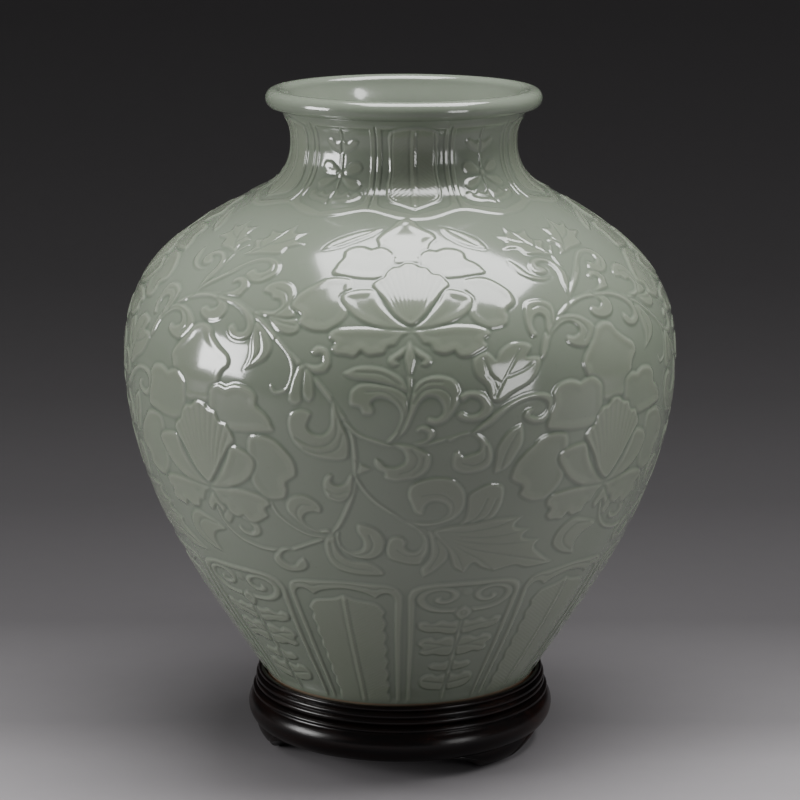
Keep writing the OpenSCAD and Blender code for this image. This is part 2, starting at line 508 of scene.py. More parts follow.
# the curling vine and its leaves; outlines are in degrees round from the front and millimetres up
# along the wall, and a point given twice is a sharp tip
vines = {
    "turn": 90,
    "low": 108,
    "high": 368,
    "dish": 0.12,               # how far the middle of a leaf sinks
    "scrollHeight": 1.0,        # parts of the carving's height
    "leafHeight": 0.95,
    "thinHeight": 0.8,
    "scrollRim": 1.8,
    "leafRim": 1.6,
    "main": [(-62, 252), (-59.5, 265), (-56, 277), (-50.5, 286.5), (-44, 290.3), (-38, 288.5), (-33, 283),
             (-28.5, 275), (-24, 265), (-19.5, 254), (-16, 245), (-13.3, 236), (-11.3, 227), (-9.4, 217),
             (-8.7, 203), (-8.6, 190), (-9.3, 178), (-11, 165), (-13, 154), (-15.5, 146.5), (-20, 140),
             (-25, 134), (-30, 132), (-34, 133.5), (-38, 138), (-41, 147), (-42.5, 162)],
    "mainWidths": (1.7, 1.9, 1.7),
    "flowerStem": [(1.9, 268), (1.9, 250), (1.5, 234), (0.4, 220), (-2.2, 209.5)],
    "flowerStemWidths": (2.0, 1.5, 1.2),
    "thinStems": [
        [(-10.4, 222), (-8, 215), (-4.6, 211), (-1.5, 208.6), (3, 208.3), (7, 210.6), (10, 213.5)],
        [(-8.4, 187), (-7, 180), (-5, 173), (-2, 166), (1, 160), (4, 155), (6, 150)],
        [(-27.4, 169), (-26.2, 160), (-23.6, 153), (-19.8, 147.3), (-15.6, 146)],
        [(-31.5, 282), (-27.4, 281), (-24.5, 283), (-22, 285)],
        [(-45.5, 329), (-47.3, 322), (-47.6, 311), (-48, 300), (-50.5, 288)],
        [(-25, 268), (-22.2, 260), (-21, 252), (-21.3, 244), (-22.4, 238.4), (-24.6, 236.8),
         (-25.4, 240.5)],
        [(-42, 160), (-40.5, 155), (-38.8, 152)],
    ],
    "thinWidths": (1.3, 1.2, 1.0),
    # each scroll is a thick curl that hooks back over a pocket of bare ground, with its cut lines
    "scrolls": [
        ([(-17.4, 222), (-16.9, 226.6), (-19, 228.6), (-21.2, 226), (-21.9, 220), (-21.6, 213),
          (-20.3, 206), (-17.6, 200.5), (-14, 198.2), (-10.4, 199), (-9.6, 205), (-9.8, 213), (-11, 222),
          (-12, 231), (-12.7, 236), (-13.2, 228), (-13.3, 220), (-14.6, 214.6), (-16.6, 214.4),
          (-17.8, 218)],
         [[(-20.3, 211), (-17, 206.8), (-14, 208), (-12.2, 214), (-12, 224)],
          [(-18.6, 204.6), (-15.2, 202.6), (-12, 206), (-10.9, 215)]]),
        ([(-2.6, 211.2), (-0.8, 218), (0.1, 226), (-0.4, 231.5), (-2.1, 235.8), (-4, 236.6), (-5.3, 234),
          (-4.8, 229.8), (-5.2, 226.6), (-7, 227.2), (-7.7, 230.8), (-9.4, 232), (-9.7, 237), (-9.1, 242),
          (-7, 245.6), (-3, 245), (0, 242.5), (1.3, 238), (1.7, 231), (1.3, 222), (0, 215), (-1.4, 210.6)],
         [[(-0.2, 217), (0.9, 226), (0, 234.5), (-2.8, 240.4), (-6.4, 240.6)]]),
        ([(-1.2, 210.6), (1.2, 217), (2.6, 226), (3.7, 233.5), (5.2, 237.2), (7, 236.4), (8, 232),
          (7.9, 227.5), (6.9, 225), (5.3, 226), (5, 222.6), (6.5, 220.6), (8.6, 222), (10.2, 227.5),
          (11.4, 235), (11.4, 242), (10.2, 247.5), (7.6, 250), (5, 249), (3, 245.2), (2.2, 239),
          (1.5, 229), (0.4, 219)],
         [[(2.6, 234), (4.4, 241), (7.4, 242.4), (9.6, 238), (9.6, 231)],
          [(2.9, 240), (5, 245.6), (8, 245.8)]]),
        ([(2.4, 210), (4.9, 212.4), (5.2, 216), (4, 217.4), (3.5, 216), (2.9, 218.5), (4.4, 221),
          (6.2, 219), (6.7, 215), (5.8, 211.2), (4, 208.6)], []),
        ([(9, 212.4), (12.3, 215.9), (15, 214.6), (16.9, 210), (18.1, 203), (18.1, 197), (17, 192.4),
          (14.8, 190.3), (12.2, 190.4), (10.3, 193.6), (10, 199), (10.4, 204), (11.3, 204.8),
          (12.2, 201.6), (13.6, 202.4), (15.2, 204.2), (15.6, 208), (14.6, 212), (12.4, 213.6),
          (9.6, 210.4)], [[(16.6, 206), (16.5, 198.5), (14.4, 195), (12, 197)]]),
        ([(-1.5, 209.4), (0.6, 205), (1, 199.5), (-0.6, 196), (-2.6, 196.4), (-3.6, 199.5), (-4.7, 201.3),
          (-5, 197), (-4.1, 193.4), (-3, 191.5), (-3, 188.2), (-1, 186), (1.4, 186.8), (3.4, 188),
          (5.1, 191.5), (6, 197), (5.8, 203), (3.6, 207.4), (1, 209.8)],
         [[(2.2, 206), (3.4, 200), (2.4, 194), (0, 191)], [(4.6, 201), (4.2, 194.6), (2.6, 190.6)]]),
        ([(-9, 190), (-9.2, 180), (-10.2, 174), (-12, 171.2), (-14.2, 173), (-15.2, 178), (-15.2, 185),
          (-14.1, 189.8), (-13, 189.2), (-13.4, 185), (-12.3, 183.2), (-10.8, 184.8), (-9.8, 190)],
         [[(-14.6, 179.6), (-12.5, 177), (-10.2, 179.4)], [(-13.8, 175.4), (-12, 173.8), (-10.6, 175.4)]]),
        ([(-1.5, 163.8), (1.5, 160.3), (5.5, 159), (8.4, 160.6), (9.8, 165), (9.3, 170), (7.3, 172.5),
          (5.5, 171), (4.9, 167), (4.6, 163.2), (3, 165.3), (2.2, 171), (1.5, 177.5), (2.1, 183.8),
          (4.4, 187.6), (7.5, 188.9), (10.5, 187.2), (12.4, 181.5), (13.3, 174), (12.9, 166.5),
          (11.1, 160), (8, 156.6), (4.5, 155.5), (1.5, 157.8)],
         [[(2.4, 161.4), (7, 158.6), (10.4, 163), (10.6, 171.6), (8, 177.4), (4.4, 177)]]),
        ([(-13.6, 150), (-13.7, 142), (-12, 135.8), (-9, 131.5), (-6, 131.5), (-3.9, 136), (-3, 143),
          (-3.5, 150), (-5, 154.8), (-7.4, 157.4), (-8.9, 156.8), (-9, 151.5), (-8.2, 147.5), (-7.8, 143),
          (-8.4, 138.8), (-10.2, 137), (-12, 139.6), (-12.8, 145), (-12.6, 151)],
         [[(-12.8, 141), (-10, 134.9), (-7, 136.4), (-5.8, 142.6), (-6.4, 149.6)]]),
        ([(1, 158.4), (3.6, 152.5), (4.8, 146), (4.5, 141), (3.6, 138), (2.2, 138.4), (1.2, 141),
          (1.4, 145), (0.6, 148.6), (-1.2, 149.2), (-2.5, 146), (-3.1, 139), (-2.4, 132.2), (0, 129),
          (2.5, 127.3), (4.5, 127.8), (5.3, 132), (6.1, 138), (6.1, 145), (5, 152), (2.5, 158.4)],
         [[(4.6, 150), (5.3, 142), (4, 135), (1.4, 134.6), (-0.6, 139)]]),
        ([(-15.2, 152.7), (-17.5, 151.4), (-19.5, 154.5), (-20.2, 158), (-19.5, 161.5), (-18, 163.2),
          (-16.3, 163), (-15.9, 167), (-17, 171.8), (-19.5, 175), (-21.9, 173.6), (-23.6, 169),
          (-23.8, 163), (-22.4, 157.3), (-20.2, 152), (-17.5, 148.8), (-14.4, 149.6)],
         [[(-17, 150.4), (-20.4, 154.6), (-21.6, 161.4), (-20.4, 167.6), (-18.2, 168.4)]]),
        ([(-24, 135), (-26.4, 131.4), (-27.4, 127), (-26.2, 123.4), (-24.6, 123), (-23.6, 126),
          (-22, 129.6), (-21.1, 126), (-21.4, 121), (-23.4, 117.6), (-26.6, 116.6), (-29, 119.6),
          (-29.9, 125), (-28.8, 130.6), (-26.6, 135.4)], []),
        ([(-37.5, 154), (-34.6, 150.4), (-33.2, 146.4), (-34, 143.4), (-35.6, 144.4), (-36.6, 147.4),
          (-37.4, 144.6), (-36.2, 140.6), (-33.6, 139.4), (-31.4, 142.4), (-31, 147.6), (-32.4, 152.6),
          (-35.4, 156)], []),
        ([(-17.7, 250), (-14.6, 250), (-13.4, 254), (-13.4, 259.4), (-14.3, 264.4), (-16.4, 266),
          (-17.6, 262.3), (-16.8, 259.8), (-15.4, 260.3), (-15.2, 256.5), (-16.4, 254.6), (-19, 254.8)],
         []),
        ([(-50.5, 290), (-48.2, 300), (-47.4, 308), (-48.4, 315), (-51, 320.4), (-54.4, 321),
          (-56.9, 316), (-56.7, 310), (-54.6, 307.4), (-52.5, 309.6), (-53, 313.4), (-54.2, 315.6),
          (-52.6, 317), (-50.6, 314.6), (-49.8, 308), (-50.6, 300)], []),
        ([(-50.5, 289.5), (-46.2, 298), (-42.8, 305.5), (-40.3, 312.5), (-37.4, 317), (-35, 318),
          (-33.4, 315.6), (-33.8, 311.5), (-35.6, 309.8), (-37.3, 312), (-38.8, 309), (-38.8, 305),
          (-36.6, 301.6), (-33.4, 302), (-30.8, 307), (-30, 313.5), (-31.5, 319.4), (-35, 322.2),
          (-38.6, 320.2), (-42, 314), (-45, 306.5), (-49, 297)],
         [[(-44, 306), (-40, 315), (-36, 320), (-32.6, 317.6), (-31.8, 311), (-34, 305.6)]]),
        ([(-43, 290.5), (-40, 294), (-38.6, 298), (-39.6, 300.4), (-41, 298.6), (-41.5, 302.2),
          (-39.6, 305.2), (-37.3, 303.8), (-35.8, 299), (-36.4, 294.3), (-37.5, 290.6)], []),
        ([(-22.3, 281), (-23, 290), (-23.4, 297), (-24.8, 303), (-27.4, 305.6), (-30, 304),
          (-31.6, 300.2), (-31.6, 296.3), (-29.4, 294.5), (-28.6, 292), (-26.8, 291.4), (-26.1, 288),
          (-27.5, 284.6), (-31, 283.8), (-28, 280)],
         [[(-26.4, 283), (-24.6, 289), (-25.6, 296.6), (-28.6, 299.4)]]),
        ([(-62, 254), (-60.4, 268), (-57.2, 277), (-53.4, 279.6), (-49.8, 278), (-47, 272.2),
          (-46.2, 266), (-47.3, 260.8), (-50, 258.2), (-53, 259.2), (-55, 263), (-54.6, 267.2),
          (-52.8, 266.2), (-51.3, 268.4), (-51.7, 272), (-53.1, 274.5), (-55.5, 273.2), (-58.4, 267),
          (-60.2, 257)], [[(-58.6, 270.6), (-54.6, 276.8), (-50.8, 274.6), (-49, 268), (-50.4, 263)]]),
        ([(-52, 283.2), (-48.6, 286), (-45.6, 287.2), (-43, 286.2), (-42.2, 283), (-43.6, 280.8),
          (-45.2, 282.2), (-46.6, 279.6), (-45.7, 275.2), (-43, 272.8), (-40.1, 274.6), (-38.8, 280),
          (-39.5, 285.8), (-42, 289.5), (-46, 290.6), (-50, 288.6)], []),
        ([(-43, 290), (-38.3, 289), (-34.3, 285.4), (-31.3, 279), (-30.4, 272.5), (-31.4, 266.6),
          (-33.8, 264), (-36.2, 265.6), (-37.3, 270), (-36.5, 274), (-35, 271.8), (-34.4, 269.6),
          (-33, 270.6), (-32.9, 275), (-34.8, 281), (-38.2, 285.3), (-42.6, 287.3)], []),
        ([(13.2, 213.6), (17.5, 219), (21, 227), (24.5, 231.6), (27.4, 232), (29.2, 229), (29, 224.2),
          (27.4, 221.8), (25.8, 223.6), (26.5, 226.8), (24.7, 226.8), (24, 222), (25.7, 218),
          (28.4, 217.5), (30.8, 222), (31.6, 228), (30.4, 233.8), (27.6, 236.2), (23.8, 235),
          (19.8, 229.8), (16.2, 222)], []),
        ([(10.6, 226), (12, 222.4), (14.6, 221.6), (17, 224.4), (18, 229.6), (17.4, 235.4), (15.4, 239.6),
          (12.8, 240.2), (11, 237.4), (11.8, 234), (13.4, 236.2), (15, 234.4), (15.6, 230.4), (14.8, 227),
          (13.2, 226.4), (11.8, 228.6)], []),
        ([(-59, 268), (-57.6, 272), (-56.2, 278.2), (-55.8, 286.4), (-57.4, 290.4), (-59.6, 291.6),
          (-62.2, 290.4), (-63.4, 285.2), (-63.8, 276.4), (-63.4, 270), (-62.6, 268), (-61.4, 269.4),
          (-61.8, 272.4), (-62, 275.6), (-61.2, 280), (-59.8, 281.2), (-59, 278.4), (-59.4, 272.6)],
         [[(-57.6, 275), (-57.2, 283), (-59, 287), (-61.4, 286)]]),
    ],
    # plain and pointed leaves, with their veins
    "leaves": [
        ([(-8, 197), (-8.4, 198.6), (-5, 194), (-5, 194), (-8.2, 190)], []),
        ([(18.6, 189), (18.6, 198), (19, 206), (21, 214.5), (24, 219), (24, 219), (24.4, 208), (23, 199),
          (21.3, 192)], [[(20, 192), (21, 202), (23, 213)]]),
        ([(9, 152.5), (12.7, 158), (13.6, 166), (13.6, 175.5), (15.6, 180.4), (18.2, 183), (20.8, 180.6),
          (21.2, 172), (20.4, 163), (18.6, 157), (15, 153.5)],
         [[(12, 154), (16, 161), (17.8, 173)], [(13.4, 154), (18, 160.5), (19.8, 172)]]),
        ([(6, 153), (9, 147), (10.6, 139), (10.4, 131), (8, 122.5), (5.3, 117), (5.3, 117), (4.6, 124),
          (6.4, 133), (6.4, 143)], [[(7.4, 147), (8.4, 136), (6.6, 124)]]),
        ([(-26.5, 275), (-25, 272), (-22.5, 270.6), (-20.6, 273.6), (-21, 281), (-24, 280.5), (-28, 281)],
         [[(-27, 279.4), (-24, 277.4), (-21.6, 276.6)]]),
        ([(-30.6, 277), (-27.2, 270), (-25.8, 262), (-27.3, 254), (-31.9, 247.5), (-31.9, 247.5),
          (-30.6, 256), (-30.9, 266)], [[(-29.3, 270), (-28.4, 260), (-30.2, 252)]]),
        ([(-61.7, 321), (-61.2, 311), (-58.4, 305), (-55, 303.2), (-52.3, 305.6), (-55.5, 306.4),
          (-58, 309.5), (-59.8, 316.5)], []),
        ([(-19.6, 254), (-20.8, 247), (-21.4, 240), (-21.7, 233), (-20.3, 230), (-18.9, 232.5),
          (-18.8, 238), (-18.5, 246), (-18.1, 252)], []),
        ([(-18.6, 252), (-18.9, 243), (-18.7, 236), (-17.4, 232.6), (-16.4, 236), (-16.4, 243),
          (-17, 250)], []),
        ([(1.5, 240), (0.7, 247.5), (-1.6, 252.6), (-5, 255.6), (-8.6, 254.8), (-11.3, 250.3),
          (-11.3, 250.3), (-8.8, 247.2), (-5, 246), (-1.4, 243.4)],
         [[(0, 244.6), (-3.5, 250.6), (-8.4, 251.6)]]),
        ([(-16, 145.5), (-16.5, 137), (-15.8, 128), (-14, 122), (-10, 118.8), (-4.6, 118.6), (-3.4, 121),
          (-4.6, 126), (-7, 129.4), (-10.6, 130.4), (-12.6, 134.4), (-13.6, 141), (-13.8, 148)],
         [[(-15, 142), (-14.4, 131), (-11, 124.5), (-6, 122.7)]]),
        ([(-42, 143.5), (-46, 148), (-50, 150.2), (-53.4, 143.5), (-54, 133), (-50.4, 124.6),
          (-45.2, 120.4), (-45.2, 120.4), (-46.2, 126.6), (-46.4, 132), (-45, 136.8), (-41.8, 140)],
         [[(-44, 143.8), (-48.4, 144.6), (-51, 138), (-50.2, 131), (-47.4, 125.3)]]),
        ([(-39.6, 157), (-37.6, 155), (-38.2, 150), (-39.6, 146), (-41, 150)], []),
        ([(-21.6, 332.6), (-19.6, 341), (-14.8, 348), (-9.8, 352), (-5.8, 354.6), (-5.8, 354.6),
          (-8.2, 348.4), (-12.8, 341.6), (-17.2, 335.4)],
         [[(-19.4, 336), (-13.8, 344.8), (-8.4, 351.2)]]),
        ([(23.8, 332.4), (22.8, 341), (19.4, 347.6), (15.6, 352), (12.2, 354.8), (12.2, 354.8),
          (12.6, 348.8), (15, 342), (18.8, 335.8)], [[(21.6, 336), (17.6, 345), (14, 351.6)]]),
        ([(-44.4, 321), (-42.8, 328), (-45, 334), (-41.8, 338), (-43, 346), (-43, 346), (-38.6, 344),
          (-35.4, 354), (-35.4, 354), (-33.6, 345), (-29, 347), (-29, 347), (-31.4, 339), (-27.6, 336),
          (-32, 331), (-33, 325.4), (-38.6, 323.6)],
         [[(-42, 324), (-38.4, 334), (-35.6, 350)], [(-40.4, 328), (-42.4, 334), (-42.4, 343)],
          [(-39, 332), (-34.4, 336), (-30.6, 344)]]),
        ([(-47.3, 321), (-48.4, 328), (-46.6, 334), (-50, 338), (-49, 347), (-49, 347), (-53.4, 344),
          (-56.6, 352), (-56.6, 352), (-57.8, 343), (-61.6, 344), (-61.6, 344), (-59, 337), (-61.4, 331),
          (-57, 330), (-55.4, 324.4), (-51, 323)],
         [[(-49.4, 325), (-52.8, 334), (-56, 348)], [(-51, 330), (-49.4, 337), (-49.6, 344)],
          [(-52.6, 333), (-56.4, 336), (-60, 341)]]),
    ],
    # a long and a short leaf with cut edges: outline, rim and veins
    "cutLeaves": [
        ([(7, 151), (10, 155.5), (14, 156.5), (20, 158.6), (26.6, 157.8), (26.6, 157.8), (24.8, 151.5),
          (29, 148), (29, 148), (27.4, 142.5), (32.4, 138.8), (32.4, 138.8), (31.4, 132.5), (38.4, 118),
          (38.4, 118), (31, 117.6), (27, 121), (22, 118.6), (22, 118.6), (18.6, 122.3), (16.4, 126.5),
          (14.8, 119), (14.8, 119), (12.1, 124), (11.1, 131), (9.8, 140)],
         1.8, [[(8, 151), (14, 150.6), (20, 152.4), (25, 156.6)],
               [(8.4, 150), (15, 146.6), (21, 145.6), (27.6, 147.4)],
               [(8.6, 149), (15, 142.8), (22, 139.6), (30.6, 138.2)],
               [(8.8, 148), (15, 138.6), (22, 132.4), (29, 126.6), (36.6, 119.6)],
               [(9, 147), (14, 136.6), (18, 129), (21.4, 120.6)], [(9.4, 146), (12.4, 135), (14.4, 122)]]),
        ([(17.3, 234), (16.6, 242), (14.4, 249), (14.2, 258.6), (17, 262.3), (18.8, 257.4), (18.8, 257.4),
          (20, 263), (23, 267), (26.8, 264), (25.5, 257.6), (25.5, 257.6), (28.4, 256.4), (27.8, 249),
          (25.6, 242), (22, 237), (19.4, 232.4)],
         1.6, [[(18.4, 236), (20.6, 247), (24, 262)], [(19.6, 243), (17.4, 249), (16.4, 258)],
               [(21, 247), (24.4, 250), (26.6, 253.5)], [(18.8, 238), (18.2, 244), (16.8, 249)]]),
    ],
    # the bud under the upper flower: half of its pair of curled leaves, and the point between them
    "budMiddle": 1.9,
    "budLeaf": [(0.2, 269), (1.3, 266.4), (2.7, 263.6), (4.1, 260.4), (4.3, 257), (3.1, 254.6),
                (1.9, 256.2), (2.4, 258.4), (1.3, 260.4), (0.5, 262.4), (0.1, 266)],
    "budPoint": [(1.9, 270), (1, 264), (0.8, 258), (1.9, 249), (3, 258), (2.8, 264)],
    # the calyx that holds the side flower
    "calyx": [(-44.9, 157), (-44, 162), (-42.3, 167), (-40.6, 162), (-39.4, 157), (-40.6, 153.6),
              (-42, 158), (-43.8, 153)],
    # the foot of each flower, with its width and height
    "flowers": (((-43.2, 171), 1.0, 1.0), ((1.8, 277), 1.04, 0.85)),
}


def carveBody():
    # flowers, vines and leaves between the two bands, four times round
    body = newPattern(vines["turn"], vines["low"], vines["high"])
    stem(body, vines["main"], vines["mainWidths"])
    stem(body, vines["flowerStem"], vines["flowerStemWidths"])
    for points in vines["thinStems"]:
        stem(body, points, vines["thinWidths"], vines["thinHeight"])
    for points, lines in vines["scrolls"]:
        leaf(body, points, vines["scrollHeight"], vines["dish"], vines["scrollRim"], lines)
    for points, veins in vines["leaves"]:
        leaf(body, points, vines["leafHeight"], vines["dish"], vines["leafRim"], veins)
    for points, rim, veins in vines["cutLeaves"]:
        leaf(body, points, vines["scrollHeight"], vines["dish"], rim, veins)
    leafPairs(body, [(vines["budLeaf"], 1.0, 0.05, 1.2, [])], vines["budMiddle"])
    leaf(body, vines["budPoint"], 1.15, 0.05, 1.2)
    leaf(body, vines["calyx"], 1.05, 0.1, 1.4)
    for foot, wide, tall in vines["flowers"]:
        carveFlower(body, foot, wide, tall)
    return body


def plate(pattern, outer, opening, level):
    # a raised frame: the outer outline filled up to level, with the opening cut back to the ground
    for points, height in ((outer, level), (opening, 0.0)):
        line = smoothLine(points, closed=True, fine=6)
        cells, turn, run, perDegree = cellsNear(pattern, line, 3)
        depth = depthInside(line, turn, run, perDegree)
        t = ease(depth / carving["plateEdge"])
        pattern["relief"][cells] = pattern["relief"][cells] * (1 - t) + height * t


uprights = {
    "height": 0.9,              # parts of the carving's height
    "bevel": 1.4,
    "ribHeight": 0.3,           # the midrib, and the groove on either side of it
    "ribWidth": 1.0,
    "grooveDepth": 0.2,
    "groovePlace": 2.2,
    "grooveWidth": 0.7,
}


def uprightLeaf(pattern, points, middle, pitch, slant, hatch):
    # a standing leaf with a raised midrib and fine slanting veins
    line = smoothLine(points, closed=True)
    cells, turn, run, perDegree = cellsNear(pattern, line, 3)
    depth = depthInside(line, turn, run, perDegree)
    away = np.abs(turn - middle) * perDegree
    veins = (0.5 + 0.5 * np.cos(2 * pi * (run + away * slant) / pitch)) ** 2
    shape = carving["height"] * uprights["height"] * rounded(depth, uprights["bevel"])
    shape -= hatch * veins * ease((depth - 1) / 1.5)
    rib = uprights["ribHeight"] * np.exp(-(away / uprights["ribWidth"]) ** 2)
    fromGroove = (away - uprights["groovePlace"]) / uprights["grooveWidth"]
    groove = uprights["grooveDepth"] * np.exp(-fromGroove ** 2)
    shape += (rib - groove) * ease((depth - 1) / 2)
    layOver(pattern, cells, depth, shape)


lowerBand = {
    "frameHeight": 0.85,        # parts of the carving's height
    "leafMiddle": -13.8,        # degrees round from the front
    "sprigMiddle": 16.5,
    "leafHalf": 9.4,            # half the leaf's width, in degrees
    "scallop": 0.8,
    "scallopPitch": 12.0,       # millimetres
    "veinPitch": 2.6,
    "veinSlant": -0.75,
    "veinDepth": 0.17,
}


def carveLowerBand():
    # upright leaves and sprigs in frames above the foot, six times round
    band = newPattern(60, 0, 120)
    frameHeight = carving["height"] * lowerBand["frameHeight"]

    # leaf panel: its frame has small lobes in the top corners
    plate(band,
          evenOutline(lowerBand["leafMiddle"], [113],
                      [(5.2, 112.4), (10.2, 111.4), (13, 109), (14.2, 104), (14.4, 96), (14.1, 60),
                       (14.1, -3), (14.1, -3)]),
          [(-26.4, -3), (-26.4, -3), (-26.5, 60), (-26.8, 92), (-26.8, 100), (-25.4, 104.6), (-23.2, 104.4),
           (-21.6, 101), (-21.6, 101), (-19, 105), (-13.8, 107.6), (-8.4, 105), (-6, 101), (-6, 101),
           (-4.4, 104.4), (-2.4, 104.6), (-1, 100), (-1, 92), (-1.2, 60), (-1.2, -3), (-1.2, -3)],
          frameHeight)
    scratch(band, evenOutline(lowerBand["leafMiddle"], [110.6],
                              [(5.2, 109), (7.7, 107.4), (9.7, 108.6), (12.2, 107.6)]), 0.5, 0.4)
    down = np.arange(-3, 90, 2.4)[::-1]
    wave = np.abs(np.sin(pi * down / lowerBand["scallopPitch"]))
    half = lowerBand["leafHalf"] + lowerBand["scallop"] * wave
    side = [(2.4, 99), (5, 97.6), (7.8, 96), (9.2, 92.6)] + list(zip(half, down))
    uprightLeaf(band, evenOutline(lowerBand["leafMiddle"], [102, 102], side), lowerBand["leafMiddle"],
                lowerBand["veinPitch"], lowerBand["veinSlant"], lowerBand["veinDepth"])

    # sprig panel
    plate(band,
          [(2.1, -3), (2.1, -3), (2.1, 60), (1.9, 96), (2.2, 104), (3.8, 109), (8, 112), (16.5, 112.8),
           (25, 112), (29, 109), (30.6, 104), (30.9, 96), (30.7, 60), (30.7, -3), (30.7, -3)],
          [(3.5, -3), (3.5, -3), (3.5, 60), (3.4, 92), (3.6, 101), (5.4, 106), (9, 108.7), (16.5, 109.3),
           (24, 108.7), (27.6, 106), (29.3, 101), (29.4, 92), (29.3, 60), (29.3, -3), (29.3, -3)],
          frameHeight)
    middle = lowerBand["sprigMiddle"]
    stem(band, [(middle, 0), (middle, 40), (middle, 80)], (1.7, 1.9, 1.5), 0.8)
    # outline, height, dish, rim and veins of each leaf, from the corner scroll down
    sprigLeaves = [
        ([(0.7, 84), (3.4, 86), (6, 86.4), (9.4, 88.6), (12, 94), (12.6, 100.5), (11, 106), (7.6, 108.6),
          (4, 107.6), (1.9, 103.4), (2, 98.4), (4, 94.6), (6.6, 94.2), (8.2, 97), (7.8, 100.4), (6.4, 101),
          (6.2, 98.4), (4.9, 98), (3.9, 100), (4.3, 103.4), (6.2, 105.2), (8.6, 104.4), (10.2, 100.8),
          (9.6, 95.6), (7.2, 91.6), (4.2, 90.2), (1.4, 90)], 0.9, 0.05, 1.4, []),
        ([(0.6, 68), (3, 67), (6, 69), (9, 69.4), (11.6, 73), (11.8, 78.6), (9.6, 80), (7.8, 77.4),
          (5.4, 80.4), (3, 78.4), (0.6, 79)], 0.95, 0.1, 1.3, [[(1.2, 72.5), (5, 74.4), (10, 75.8)]]),
        ([(0.6, 48), (3.6, 46.6), (6.4, 48.4), (8.8, 47.4), (10.8, 50.4), (10.2, 54.6), (11.6, 58.4),
          (10.6, 63), (7.8, 65), (6, 62.4), (3.4, 64.8), (0.6, 62.6)], 0.95, 0.1, 1.4,
         [[(1.2, 55.6), (5, 55.4), (9.4, 52.6)], [(3, 56), (6, 58.4), (9.6, 60)]]),
        ([(0.6, 32.6), (3, 31.6), (6.4, 33.6), (7.4, 37), (5.8, 40.4), (3, 39.6), (0.6, 41.4)],
         0.9, 0.08, 1.2, []),
        ([(0.6, 14), (4, 13), (7.6, 14.6), (9.6, 18), (10, 24), (8.4, 28.6), (5.6, 29.6), (3.8, 27),
          (0.6, 28)], 0.95, 0.1, 1.4, [[(1.2, 19.6), (4.6, 21), (8.4, 23)]]),
    ]
    leafPairs(band, sprigLeaves, middle)
    # the bud between the scrolls, and the small button over it
    leaf(band, evenOutline(middle, [92.4, 92.4], [(2.3, 87.6), (2, 83)]) + [(middle, 79)], 1.0, 0.1, 1.2)
    scratch(band, ringPoints((middle, 86), 1.7, 360, 14), 0.5, 0.3)
    leaf(band, ringPoints((middle, 103.5), 3.4, 330, 10), 0.8, 0.3, 1.0)
    return band


neckBand = {
    "leafMiddle": 4.5,          # degrees round from the front
    "panelPitch": 36.0,
    "lowEdge": 361.5,           # along the wall, where the band's edge is lowest
    "edgeRise": 8.0,
    "level": 0.6,               # parts of the carving's height
    "panelLevel": 0.12,         # millimetres
    "top": 429.0,
    "veinPitch": 2.4,
    "veinSlant": 0.8,
    "veinDepth": 0.14,
}


